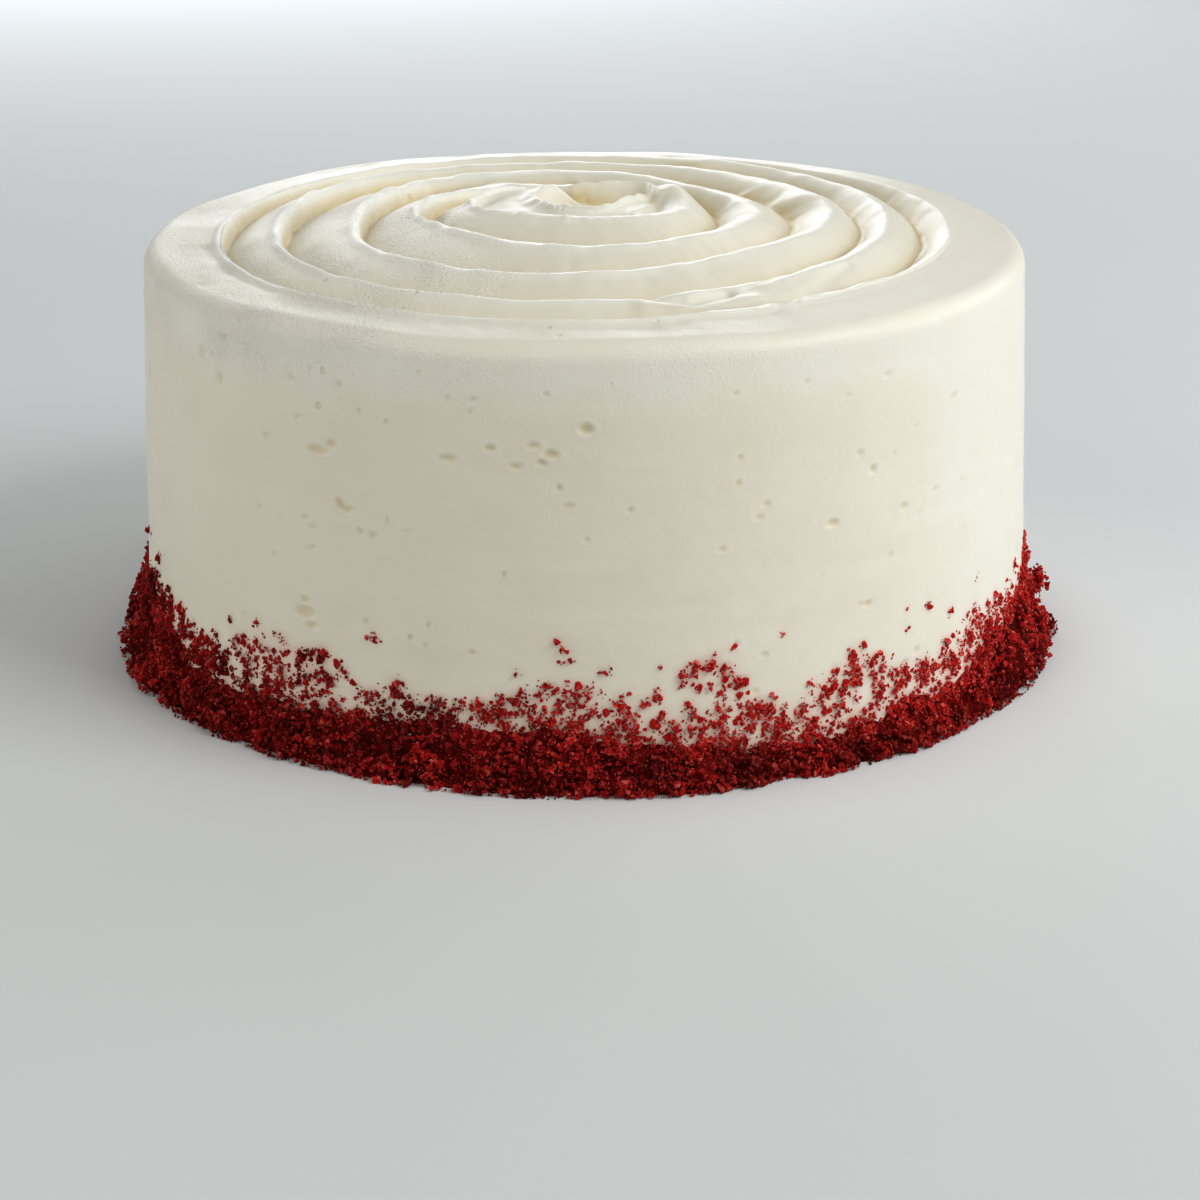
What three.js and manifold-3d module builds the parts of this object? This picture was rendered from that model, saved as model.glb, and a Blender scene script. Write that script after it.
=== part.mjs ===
// A tall round layer cake under pale frosting. A spatula has drawn one spiral groove into its top, and
// red sponge crumbs are heaped and pressed round its foot. It is uncut, so it is one solid.
import * as THREE from 'three';
import { mergeVertices } from 'three/addons/utils/BufferGeometryUtils.js';
import Module from 'manifold-3d';

// Driving sizes, in millimetres. The cake stands on z = 0 with its axis on +Z and its front towards -Y.
const TOP_RADIUS = 112.5;
const FOOT_RADIUS = 116.4; // the frosted wall spreads a little towards the foot
const RIM_HEIGHT = 105.5; // the flat rim round the swirl
const SHOULDER = 5; // rounding between the rim and the wall

// The spiral crest, seen from above, winds clockwise inwards from the back. Its radius shrinks with each turn.
const SWIRL_CENTRE = [-3.4, 0.9];
const CREST_START = 103.6;
const CREST_PITCH = 13.5;
const CREST_CLOSING = 1.3; // how much faster it closes with every turn
const CREST_OVAL = [-1.7, 2.1]; // cosine and sine share of its oval shape
const SWIRL_TURNS = 4.75;
const RIM_EDGE = 0.8; // the least flat rim between the shoulder and the first row of the swirl
const RIM_STEP = 0.9; // the least step between its first rows

// The groove inside the crest: a steep drop, a rounded bottom and a long rise to the next crest.
const GROOVE_DEPTH = 4.6;
const DROP_SHARE = 0.24; // of the way to the next crest
const CREST_RISE = 1.4; // of the outermost crest over the flat rim
const DOME_RISE = 5.6; // of the innermost crest over the outermost
const DOME_RADIUS = 101;

// Where the spatula was lifted: a hollow in the middle and a curled lobe beside it.
const HOLLOW = { x: 5, y: 10, wide: 13, deep: 10, rise: -5.5 };
const LOBE = { x: 24, y: 16, wide: 8, deep: 11, rise: 5.5 };
const CREASE = { x: 17, y: 2, wide: 7, deep: 4, rise: -3 };
const BACK_PEAK = { x: 28, y: 76, wide: 7, deep: 6, rise: 2.5 };

// The bank of crumbs round the foot.
const BANK_REACH = 122.5;
const BANK_HEIGHT = 19;
const BANK_ROOT = 108; // how far in the bank starts, inside the wall
const LUMP = 1.5; // roughness of the bank
const CLUMPS = 120;
const LARGEST_CLUMP = 4.4;
const SMALLEST_CLUMP = 2.2;

// Mesh fineness.
const AROUND = 72;
const ROWS_A_TURN = 7;
const ROW_PULL = 0.72; // how strongly the rows crowd at the crest
const BANK_AROUND = 140;
const SLIVER = 0.2; // what is thinner than this is closed up after the union

const TURN = 2 * Math.PI;
const smooth = (low, high, x) => {
  const t = Math.min(1, Math.max(0, (x - low) / (high - low)));
  return t * t * (3 - 2 * t);
};

// Repeatable random numbers from 0 to 1.
function seededRandom(seed) {
  let state = seed;
  return () => {
    state = (state * 1664525 + 1013904223) % 4294967296;
    return state / 4294967296;
  };
}

// A sum of waves round the cake, each with a whole number of periods, so that it closes on itself.
const waves = (angle, list) => list.reduce((sum, [count, size, phase]) => sum + size * Math.cos(count * angle + phase), 0);

// Distance from the swirl's centre after so many turns inwards, towards an azimuth.
function turnRadius(turns, azimuth) {
  const oval = CREST_OVAL[0] * Math.cos(2 * azimuth) + CREST_OVAL[1] * Math.sin(2 * azimuth);
  return CREST_START - CREST_PITCH * turns - CREST_CLOSING * turns * turns + oval * (1 - turns / 5.3);
}

// A rounded bump or dent.
const mound = (spot, x, y) => spot.rise * Math.exp(-(((x - spot.x) / spot.wide) ** 2) - ((y - spot.y) / spot.deep) ** 2);

// Height of the top at a point that lies `turns` inwards, where `share` of a turn has passed since the back.
function topHeight(turns, share, x, y) {
  const passed = turns - share;
  const groove = Math.floor(passed);
  const along = passed - groove;
  const radius = Math.hypot(x, y);
  const dome = DOME_RISE * Math.max(0, 1 - (radius / DOME_RADIUS) ** 2) ** 1.2;
  if (groove < 0) return RIM_HEIGHT + CREST_RISE * smooth(0.65, 1, along) * smooth(0, 0.2, share);
  const place = groove + share;
  const depth = GROOVE_DEPTH * smooth(0.02, 0.18, place) * smooth(SWIRL_TURNS, SWIRL_TURNS - 0.5, place);
  const rise = (along - DROP_SHARE) / (1 - DROP_SHARE);
  const fill = along < DROP_SHARE ? (1 - along / DROP_SHARE) ** 1.7 : rise * (1.4 - 0.4 * rise);
  const spots = [HOLLOW, LOBE, CREASE, BACK_PEAK].reduce((sum, spot) => sum + mound(spot, x, y), 0);
  return RIM_HEIGHT + CREST_RISE * smooth(0, 0.2, place) + dome - depth * (1 - fill) + spots;
}

// The frosted body: a lathed disc whose rows are laid along the wall, the shoulder and the spiral.
function frostedBody() {
  const wallRows = [[0, 0], [FOOT_RADIUS, 0], [FOOT_RADIUS, 22], [(FOOT_RADIUS + TOP_RADIUS) / 2, RIM_HEIGHT / 2]];
  const shoulderRows = [0, 30, 60, 90].map((degrees) => {
    const turn = THREE.MathUtils.degToRad(degrees);
    return [TOP_RADIUS - SHOULDER + SHOULDER * Math.cos(turn), RIM_HEIGHT - SHOULDER + SHOULDER * Math.sin(turn)];
  });
  const swirlRows = Math.floor(5 * ROWS_A_TURN);
  const profile = [...wallRows, ...shoulderRows].map(([radius, height]) => new THREE.Vector2(radius, height));
  const firstSwirlRow = profile.length;
  for (let row = 0; row < swirlRows; row += 1) {
    profile.push(new THREE.Vector2(CREST_START * (1 - row / swirlRows), RIM_HEIGHT));
  }
  profile.push(new THREE.Vector2(0, RIM_HEIGHT));
  const geometry = new THREE.LatheGeometry(profile, AROUND);
  geometry.rotateX(Math.PI / 2);
  const place = geometry.getAttribute('position');
  for (let index = 0; index < place.count; index += 1) {
    const row = index % profile.length;
    const column = Math.floor(index / profile.length) % AROUND;
    if (row < firstSwirlRow) continue;
    const azimuth = (column / AROUND - 0.25) * TURN; // a lathe's first column lies towards -Y
    const share = (((0.25 - azimuth / TURN) % 1) + 1) % 1;
    const even = (row - firstSwirlRow) / ROWS_A_TURN;
    const turns = even - (ROW_PULL / TURN) * Math.sin(TURN * (even - share));
    const middle = row === profile.length - 1;
    const radius = middle ? 0 : turnRadius(turns, azimuth);
    const spot = new THREE.Vector2(radius * Math.cos(azimuth), radius * Math.sin(azimuth));
    spot.x += SWIRL_CENTRE[0];
    spot.y += SWIRL_CENTRE[1];
    spot.clampLength(0, TOP_RADIUS - SHOULDER - RIM_EDGE - RIM_STEP * (row - firstSwirlRow)); // inside the shoulder
    place.setXYZ(index, spot.x, spot.y, topHeight(middle ? 5.1 : turns, middle ? 0.5 : share, spot.x, spot.y));
  }
  return geometry;
}

// How high the bank stands against the wall, and how far it reaches out, towards an azimuth.
const bankHeight = (angle) => BANK_HEIGHT + waves(angle, [[2, 3.5, 3.4], [3, 2, 1], [7, 1.6, 2], [11, 1.2, 5]]);
const bankReach = (angle) => BANK_REACH + waves(angle, [[2, 0.8, 0], [6, 0.5, 1], [10, 0.5, 2]]);

// The bank: a lathed ring with a lumpy sloping face.
function crumbBank() {
  const corners = [[BANK_ROOT, 0], [1, 0], [0.94, 0.2], [0.62, 0.55], [0.3, 0.95], [BANK_ROOT, 1]];
  const ring = [...corners, corners[0]].map(([out, up]) => new THREE.Vector2(out > 1 ? out : FOOT_RADIUS + out * 5, up * BANK_HEIGHT));
  const geometry = new THREE.LatheGeometry(ring, BANK_AROUND);
  geometry.rotateX(Math.PI / 2);
  const place = geometry.getAttribute('position');
  const random = seededRandom(7);
  const lumps = Array.from({ length: BANK_AROUND * ring.length }, () => random() - 0.5);
  for (let index = 0; index < place.count; index += 1) {
    const row = (index % ring.length) % corners.length;
    const column = Math.floor(index / ring.length) % BANK_AROUND;
    const angle = (column / BANK_AROUND) * TURN;
    const [out, up] = corners[row];
    const rooted = out > 1;
    const lump = rooted || up === 0 ? 0 : LUMP * lumps[column * ring.length + row];
    const radius = rooted ? out : FOOT_RADIUS - 1 + out * (bankReach(angle) - FOOT_RADIUS + 1) + lump * 1.6;
    place.setXYZ(index, radius * Math.cos(angle), radius * Math.sin(angle), up * bankHeight(angle) + lump * 1.5);
  }
  return geometry;
}

// One clump of crumbs: a small faceted ball with its corners pushed in and out.
function clump(size, random) {
  const geometry = new THREE.IcosahedronGeometry(size, 0);
  geometry.deleteAttribute('normal');
  geometry.deleteAttribute('uv');
  const merged = mergeVertices(geometry);
  const place = merged.getAttribute('position');
  for (let index = 0; index < place.count; index += 1) {
    const push = 0.75 + 0.45 * random();
    place.setXYZ(index, place.getX(index) * push, place.getY(index) * push, place.getZ(index) * push);
  }
  return merged.rotateX(random() * TURN).rotateY(random() * TURN);
}

// The clumps that stand out: the largest first, spread evenly round the bank and a little way up the wall.
function clumps() {
  const random = seededRandom(21);
  return Array.from({ length: CLUMPS }, (_, number) => {
    const size = THREE.MathUtils.lerp(LARGEST_CLUMP, SMALLEST_CLUMP, number / CLUMPS);
    const angle = (number * 0.618034 + 0.02 * random()) * TURN;
    const climb = random();
    const stuck = number % 4 === 3; // every fourth sticks to the wall above the bank
    const height = stuck ? bankHeight(angle) * (1.1 + 0.5 * climb) : size * 1.1 + climb * (bankHeight(angle) - size * 1.3);
    const slope = Math.min(1, height / bankHeight(angle));
    const reach = stuck ? FOOT_RADIUS - 0.6 : THREE.MathUtils.lerp(bankReach(angle), FOOT_RADIUS + 1, slope ** 2) - 0.35 * size;
    return clump(size, random).translate(reach * Math.cos(angle), reach * Math.sin(angle), height);
  });
}

const library = await Module();
library.setup();

// A closed mesh as a solid, by its positions alone.
function solid(geometry) {
  geometry.deleteAttribute('normal');
  geometry.deleteAttribute('uv');
  const merged = mergeVertices(geometry, 1e-4);
  const vertProperties = new Float32Array(merged.getAttribute('position').array);
  const triVerts = new Uint32Array(merged.getIndex().array);
  return new library.Manifold(new library.Mesh({ numProp: 3, vertProperties, triVerts }));
}

// The cake with its crumbs joined on, moved a fraction of a millimetre to stand centred on its footprint.
function frostedCake() {
  const pieces = [crumbBank(), ...clumps()].map(solid);
  const joined = pieces.reduce((whole, piece) => whole.add(piece), solid(frostedBody())).asOriginal().simplify(SLIVER).getMesh();
  const geometry = new THREE.BufferGeometry();
  geometry.setAttribute('position', new THREE.BufferAttribute(new Float32Array(joined.vertProperties), 3));
  geometry.setIndex(new THREE.BufferAttribute(new Uint32Array(joined.triVerts), 1));
  geometry.computeBoundingBox();
  const centre = geometry.boundingBox.getCenter(new THREE.Vector3());
  geometry.translate(-centre.x, -centre.y, 0);
  geometry.computeVertexNormals();
  return geometry;
}

const frosting = new THREE.MeshStandardMaterial({ color: 0xe9e4d4, roughness: 0.5, metalness: 0 });
const cake = new THREE.Mesh(frostedCake(), frosting);
cake.name = 'frosted_cake';

const group = new THREE.Group();
group.add(cake);
export default group;
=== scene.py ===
"""Looks of a red velvet cake: pale frosting with a spiral drawn in its top, red crumbs round its foot."""
import math

import bpy
import numpy as np
from bpy.props import FloatProperty, FloatVectorProperty, IntProperty, PointerProperty
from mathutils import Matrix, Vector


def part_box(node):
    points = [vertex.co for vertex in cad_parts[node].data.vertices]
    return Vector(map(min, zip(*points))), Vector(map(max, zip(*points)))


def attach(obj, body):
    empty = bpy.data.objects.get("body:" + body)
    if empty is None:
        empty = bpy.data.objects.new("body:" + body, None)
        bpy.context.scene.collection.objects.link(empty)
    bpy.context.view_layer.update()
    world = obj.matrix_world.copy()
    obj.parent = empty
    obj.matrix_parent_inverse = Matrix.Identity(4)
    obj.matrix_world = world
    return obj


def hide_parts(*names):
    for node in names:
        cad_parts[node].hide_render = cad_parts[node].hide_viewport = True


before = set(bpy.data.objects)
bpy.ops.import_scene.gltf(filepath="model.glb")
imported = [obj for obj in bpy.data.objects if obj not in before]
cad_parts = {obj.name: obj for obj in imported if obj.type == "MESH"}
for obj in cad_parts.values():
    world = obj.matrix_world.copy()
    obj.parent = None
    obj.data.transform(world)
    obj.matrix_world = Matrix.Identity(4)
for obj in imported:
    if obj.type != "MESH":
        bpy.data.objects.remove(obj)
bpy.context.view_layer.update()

bl_info = {
    "name": "Red Velvet Cake",
    "version": (1, 0, 0),
    "blender": (4, 5, 0),
    "location": "3D View > Sidebar > Cake",
    "description": "Builds the frosting, the crumbs and the stage of a round layer cake",
    "category": "Add Mesh",
}

CAKE = "frosted_cake"
CAKE_LOW, CAKE_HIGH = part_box(CAKE)
MM = 0.001
TURN = 2.0 * math.pi
FRONT = 0.75 * TURN
MEAN_RADIUS = 114.0 * MM  # of the wall, halfway up
NOISE_CELLS = 512  # how many random values a noise holds along one side

# Mesh fineness. The columns go round the cake and crowd towards its front.
COLUMNS = 640
COLUMN_PULL = 0.5
WALL_ROWS = 155
LOW_ROWS = 6  # the first rows of the wall, further apart behind the crumbs
LOW_TOP = 13.0 * MM
SHOULDER_ROWS = 9
RIM_ROWS = 9
ROWS_A_TURN = 21
SWIRL_ROWS = 132
ROW_PULL = 0.72  # how strongly the rows of the swirl crowd at its crest
SEAM_HEIGHT = 98.0 * MM  # where the wall's mesh meets the top's
RIM_EDGE = 1.2 * MM  # flat rim between the shoulder and the first row of the swirl

# The swirl's crest, seen from above, winds clockwise inwards from the back: its distance from the swirl's
# centre at every eighth of a turn, in millimetres, one line to the turn. The last turn is not a full one.
SWIRL_CENTRE = (-3.4 * MM, 0.9 * MM)
CREST = (
    105.4, 101.5, 97.2, 96.4, 99.0, 95.4, 89.3, 90.8,
    92.0, 89.5, 80.8, 80.0, 84.8, 82.0, 74.2, 77.6,
    71.0, 69.5, 66.2, 59.5, 64.5, 62.4, 53.8, 56.0,
    53.0, 43.5, 45.5, 43.5, 42.0, 37.5, 39.6, 34.0,
    24.5, 29.5, 27.5, 18.5, 14.0, 14.8, 25.0, 21.0,
    17.0, 15.0, 13.0, 11.0, 9.0, 7.0, 5.0, 3.2,
    2.0, 1.2, 0.7, 0.4, 0.3,
)
CREST_RISE = 1.4 * MM
DOME_RISE = 5.6 * MM
DOME_RADIUS = 101.0 * MM

# Bumps and dents where the spatula was lifted, as (x, y, half width, half depth, rise) in millimetres.
SPOTS = (
    (24.0, 17.0, 6.5, 9.0, 2.6),
    (18.5, 6.0, 2.6, 7.0, -1.3),
    (-20.0, 17.0, 8.0, 10.0, 1.2),
    (28.0, 78.0, 7.0, 6.0, 2.4),
    (56.0, 22.0, 9.0, 7.0, 1.0),
    (-2.0, 46.0, 2.0, 2.0, 1.2),
    (42.0, 38.0, 2.6, 1.8, 0.9),
    (-40.0, -1.0, 4.0, 5.0, -1.5),
)
# The rolled lip round the bowl in the middle: its centre and its distance from it at every eighth of a turn,
# from the right towards the back, in millimetres.
BOWL_CENTRE = (2.5 * MM, 9.0 * MM)
BOWL_LIP = (10.5, 19.0, 15.5, 15.4, 16.0, 16.2, 15.5, 9.5)
# Folds and ridges drawn by the spatula, as (half width, rise, line of points) in millimetres.
STROKES = (
    (1.3, 0.9, ((11.5, -8.0), (15.5, 1.0), (19.5, 14.0))),
    (1.6, -1.3, ((12.0, -80.0), (24.0, -82.0), (33.0, -76.0))),
    (3.0, 1.0, ((14.0, -86.0), (28.0, -87.0), (40.0, -78.0))),
    (1.3, -0.6, ((44.0, -83.0), (54.0, -66.0), (64.0, -47.0))),
    (1.2, 0.6, ((50.0, -80.0), (60.0, -64.0), (69.0, -50.0))),
    (1.2, -0.5, ((38.0, -72.0), (48.0, -60.0), (55.0, -44.0))),
    (1.6, -0.7, ((-95.0, -20.0), (-88.0, -45.0), (-74.0, -66.0))),
    (1.4, 0.7, ((-30.0, 4.0), (-24.0, 14.0), (-14.0, 22.0))),
)

# Burst bubbles that show on the wall, as (azimuth in degrees, height, width, tallness) in millimetres.
BUBBLES = (
    (196, 77, 3.2, 3.6), (216, 92, 3.4, 3.6), (220, 87, 2.6, 2.8), (221, 98, 3.0, 2.6),
    (233, 92, 2.0, 1.6), (236, 95, 1.6, 1.2), (234, 83, 1.6, 1.4), (237, 76, 6.4, 1.9),
    (239, 78, 3.0, 1.9), (240, 64, 2.6, 2.2), (241, 63, 4.0, 1.9), (235, 59, 2.4, 1.3),
    (236, 57, 2.4, 1.1), (236, 52, 2.4, 1.3), (230, 48, 1.9, 1.1), (235, 39, 3.0, 1.6),
    (235, 36, 6.0, 2.6), (236, 33, 3.8, 1.6), (254, 78, 4.6, 1.6), (259, 81, 2.8, 1.5),
    (264, 82, 3.2, 1.3), (266, 80, 3.6, 1.9), (265, 78, 2.8, 1.5), (262, 77, 3.4, 1.3),
    (270, 86, 3.4, 2.4), (254, 92, 1.8, 1.0), (257, 92, 2.3, 1.1), (268, 68, 3.0, 1.1),
    (275, 67, 1.6, 1.2), (270, 60, 1.8, 1.0), (300, 59, 3.6, 1.7), (313, 78, 2.2, 1.0),
    (311, 59, 2.2, 1.8), (306, 70, 1.6, 2.2), (302, 89, 2.2, 1.0), (308, 92, 2.2, 1.3),
)
STRAY_BUBBLES = 130
BUBBLE_SPREAD = 0.56  # how far a dip reaches from its middle, as a share of the listed width
DEEPEST_BUBBLE = 0.75  # in millimetres

# How high the crumbs stand on the wall, as (azimuth in degrees, millimetres): below SOLID they hide the
# wall, above SCATTER there are none. The far side, from 0 to 180 degrees, carries on like the front.
SOLID = (
    (4, 16), (20, 13), (40, 11), (60, 14), (80, 12), (100, 15), (120, 12), (140, 10), (160, 11),
    (180, 13), (188, 18), (196, 22), (203, 19), (210, 13), (218, 10), (226, 10.5), (234, 12.5),
    (242, 13), (250, 14.5), (258, 16), (266, 16), (274, 12), (282, 9.5), (290, 7.5), (298, 7),
    (306, 8.5), (314, 10), (322, 12), (330, 16), (338, 18), (345, 21), (350, 23), (356, 20),
)
SCATTER = (
    (4, 26), (20, 22), (40, 27), (60, 24), (80, 21), (100, 27), (120, 24), (140, 22), (160, 22),
    (180, 17), (188, 22), (198, 28), (206, 26), (212, 22), (218, 21), (224, 29), (229, 30),
    (236, 28), (243, 24), (250, 21), (258, 21), (264, 25), (270, 27), (276, 24), (281, 28),
    (286, 31), (290, 27), (296, 21), (303, 28), (309, 25), (316, 24), (326, 27), (334, 25),
    (341, 24), (349, 30), (356, 28),
)
# Clumps that stand out against the wall, as (azimuth in degrees, height, radius) in millimetres.
CLUMPS = (
    (199, 26, 2.2), (205, 25, 2.0), (222, 28, 1.6), (225, 30.5, 1.0), (227, 29.5, 1.6), (232, 26.5, 1.6),
    (236, 26, 2.2), (240, 24.5, 1.4), (223, 22, 2.0), (262, 27.5, 0.8), (266.7, 35.5, 1.2),
    (267.3, 33.8, 1.2), (268.4, 31.2, 0.9), (267.2, 30.6, 0.7), (272.3, 28.4, 1.7), (278.4, 29.3, 0.9),
    (270, 23.5, 2.4), (269, 20.5, 2.2), (281, 24.2, 1.5), (284, 28.8, 2.4), (286.3, 27.4, 2.6),
    (287.5, 24.5, 2.0),
    (304.3, 27.3, 1.5), (303.2, 24.2, 2.2), (306, 22.5, 1.8), (326, 25.8, 2.2), (331.5, 25, 1.6),
    (335, 22.5, 1.5), (349, 29, 1.4), (30, 27, 1.8), (75, 24, 1.6), (112, 28, 2.0), (150, 25, 1.7),
)


# -------- sizes and colours


def length(name, description, default):
    """A length setting."""
    return FloatProperty(name=name, description=description, default=default, unit="LENGTH")


class CakeSizes(bpy.types.PropertyGroup):
    """The sizes that a baker would change."""

    top_radius: length("Top radius", "Radius of the frosted top", 112.5 * MM)
    foot_radius: length("Foot radius", "Radius of the frosting at its foot", 116.4 * MM)
    rim_height: length("Rim height", "Height of the flat rim", 105.5 * MM)
    shoulder: length("Shoulder", "Rounding between wall and rim", 5.0 * MM)
    groove_depth: length("Groove depth", "Depth of the spiral groove", 5.2 * MM)
    bank_reach: length(
        "Bank reach", "Radius out to which the crumbs lie", (CAKE_HIGH.x - CAKE_LOW.x) / 2.0 - 1.2 * MM)
    grains: IntProperty(
        name="Grains", description="Number of crumbs that each piece has its share of", default=18500)


def colour(name, description, default):
    """A colour setting."""
    return FloatVectorProperty(
        name=name, description=description, default=default, subtype="COLOR", min=0.0, max=1.0)


class CakeColours(bpy.types.PropertyGroup):
    """The colours of the frosting, the crumbs and the floor."""

    frosting: colour("Frosting", "Cream of the frosting", (0.885, 0.86, 0.755))
    # painted shade: this warmer cream stands in for shade in hollows, groove bottoms, bubble dips, pits and
    # the wall's shaded front left
    hollow: colour("Hollow", "Warm cream where the frosting is hollow", (0.66, 0.52, 0.24))
    # painted highlight: this pale cream stands in for the light along thin crests; coarse skin is mixed a
    # little towards it too
    crest: colour("Crest", "Pale cream of thin crests", (0.96, 0.955, 0.90))
    stain: colour("Stain", "Frosting stained by crumbs", (0.72, 0.36, 0.29))
    crumb: colour("Crumb", "Red of the crumbs", (0.42, 0.009, 0.008))
    # darkest crumbs, also painted shade in the gaps between clumps and packed grains
    crumb_dark_and_shade: colour("Dark crumb", "Darkest crumbs", (0.05, 0.001, 0.001))
    # painted highlight on the tips of crumbs that stick out; specks where the pore noise is high take it too
    crumb_highlight: colour("Bright crumb", "Thin bright edges of crumbs", (0.88, 0.145, 0.115))
    floor: colour("Floor", "Pale floor", (0.70, 0.725, 0.745))


# -------- numbers and noise


def ease(low, high, x):
    """0 up to low, 1 from high on, and a smooth S between them."""
    t = np.clip((x - low) / (high - low), 0.0, 1.0)
    return t * t * (3.0 - 2.0 * t)


def drift(u, v, seed, period=NOISE_CELLS):
    """Smooth random relief from -1 to 1. Random values stand at the whole numbers of u and v, and a point
    takes an eased blend of the four round it. The values repeat after period steps of u."""
    values = np.random.default_rng(seed).uniform(-1.0, 1.0, (period, NOISE_CELLS))
    i, j = np.floor(u).astype(int), np.floor(v).astype(int)
    s, t = ease(0.0, 1.0, u - i), ease(0.0, 1.0, v - j)
    i0, i1, j0, j1 = i % period, (i + 1) % period, j % NOISE_CELLS, (j + 1) % NOISE_CELLS
    near = values[i0, j0] * (1.0 - s) + values[i1, j0] * s
    far = values[i0, j1] * (1.0 - s) + values[i1, j1] * s
    return near * (1.0 - t) + far * t


def around(azimuth, height, cell, seed, stretch=1.0):
    """Drift on the wall: its cells are cell high and about stretch times as wide."""
    cells = max(3, round(TURN * MEAN_RADIUS / (cell * stretch)))
    return drift(azimuth / TURN * cells, height / cell, seed, cells)


def across(x, y, cell, seed):
    """Drift on the top, with square cells."""
    return drift(x / cell + 200.0, y / cell + 200.0, seed)


def level(azimuth, table):
    """A height that varies round the cake, read smoothly from a table of (degrees, millimetres)."""
    degrees, heights = np.array(table, float).T
    return np.interp(np.degrees(azimuth) % 360.0, degrees, heights, period=360.0) * MM


def columns():
    """Azimuths of the mesh columns: even steps, pulled towards the front."""
    even = np.arange(COLUMNS) / COLUMNS * TURN
    return even - COLUMN_PULL * np.sin(even - FRONT)


# -------- meshes


def polar(radius, azimuth, height):
    """Points at a distance from the cake's axis, an azimuth and a height."""
    x, y = radius * np.cos(azimuth), radius * np.sin(azimuth)
    return np.stack(np.broadcast_arrays(x, y, height), axis=-1)


def new_mesh(name, points, faces, values=None, smooth=True):
    """A mesh from an array of points and arrays of faces, one for each number of corners."""
    mesh = bpy.data.meshes.new(name)
    corners = np.concatenate([part.ravel() for part in faces]).astype(np.int32)
    counts = np.concatenate([np.full(len(part), part.shape[1]) for part in faces])
    starts = np.concatenate([[0], np.cumsum(counts)[:-1]]).astype(np.int32)
    mesh.vertices.add(len(points))
    mesh.vertices.foreach_set("co", np.ascontiguousarray(points, np.float32).ravel())
    mesh.loops.add(len(corners))
    mesh.loops.foreach_set("vertex_index", corners)
    mesh.polygons.add(len(counts))
    mesh.polygons.foreach_set("loop_start", starts)
    mesh.polygons.foreach_set("use_smooth", np.full(len(counts), smooth))
    for key, value in (values or {}).items():
        attribute = mesh.attributes.new(key, "FLOAT", "POINT")
        attribute.data.foreach_set("value", np.ascontiguousarray(value, np.float32).ravel())
    mesh.update(calc_edges=True)
    mesh.validate()
    return mesh


def quads(rows, count, closed=False):
    """Faces of a grid whose count columns close round the cake, outside out when the rows go upwards. The
    last row joins the first where the grid is closed."""
    row = np.arange(rows if closed else rows - 1)[:, None]
    column = np.arange(count)[None, :]
    following = (column + 1) % count
    start, above = row * count, (row + 1) % rows * count
    corners = (start + column, start + following, above + following, above + column)
    return np.stack(np.broadcast_arrays(*corners), axis=-1).reshape(-1, 4)


def fan(row, pole, outwards_up):
    """Triangles from one row of a grid to a pole, facing up or down."""
    column = np.arange(COLUMNS)
    following = (column + 1) % COLUMNS
    pair = (column, following) if outwards_up else (following, column)
    return np.stack([row * COLUMNS + pair[0], row * COLUMNS + pair[1], np.full(COLUMNS, pole)], axis=-1)


def add_piece(context, name, mesh, material):
    """A finished piece: it rides with the cake, replaces its plain solid and takes its material."""
    piece = bpy.data.objects.new(name, mesh)
    mesh.materials.append(material)
    context.scene.collection.objects.link(piece)
    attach(piece, "root")
    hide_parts(CAKE)
    return piece


# -------- frosting


def wall_radius(sizes, height):
    """The wall without its relief: it spreads evenly from the top to the foot."""
    return sizes.foot_radius + (sizes.top_radius - sizes.foot_radius) * height / sizes.rim_height


def bubbles(azimuth, height):
    """How far burst bubbles sink into the wall, and how strongly they get painted shade, a warmer cream: a
    rounded oval dip each, with a faint lip. The ones that show in front are listed and the rest are strewn at
    random."""
    random = np.random.default_rng(5)
    strewn = np.stack([
        random.uniform(0.0, 360.0, STRAY_BUBBLES), random.uniform(18.0, 98.0, STRAY_BUBBLES),
        random.uniform(0.9, 2.2, STRAY_BUBBLES) ** 1.3, random.uniform(0.8, 1.6, STRAY_BUBBLES)], axis=-1)
    depth = np.zeros_like(azimuth)
    for degrees, middle, wide, tall in (*BUBBLES, *strewn):
        aside = (azimuth - math.radians(degrees) + math.pi) % TURN - math.pi
        sideways = aside * MEAN_RADIUS / MM / (BUBBLE_SPREAD * wide)
        far = np.hypot(sideways, (height / MM - middle) / (BUBBLE_SPREAD * tall + 0.1))
        deep = min(DEEPEST_BUBBLE, 0.36 * tall)
        dip = np.clip(1.0 - far**2, 0.0, 1.0) ** 0.9
        depth += deep * (dip - 0.14 * np.exp(-((far - 1.3) / 0.3) ** 2))
    return depth * MM, np.clip(depth / 0.5, 0.0, 1.0)


def wall_relief(azimuth, height):
    """Relief of the wall: broad waves of the spatula, flat sideways sweeps and a fine unevenness."""
    broad = 0.35 * MM * around(azimuth, height, 32.0 * MM, 11, 1.6)
    sweeps = 0.10 * MM * around(azimuth, height, 4.0 * MM, 12, 9.0)
    fine = 0.045 * MM * around(azimuth, height, 2.2 * MM, 13, 1.5)
    return broad + sweeps + fine


def curve(listed, step):
    """A smooth cubic through listed values in millimetres, read at a step that counts them from 0. The last
    value but one is the end of the table."""
    listed = np.array(listed) * MM
    step = np.clip(step, 0.0, len(listed) - 2.001)
    i = step.astype(int)
    t = step - i
    before, first, second, after = listed[np.maximum(i - 1, 0)], listed[i], listed[i + 1], listed[i + 2]
    bend = t * (3.0 * (first - second) + after - before) + 2.0 * before - 5.0 * first + 4.0 * second - after
    return first + 0.5 * t * (second - before + t * bend)


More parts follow.
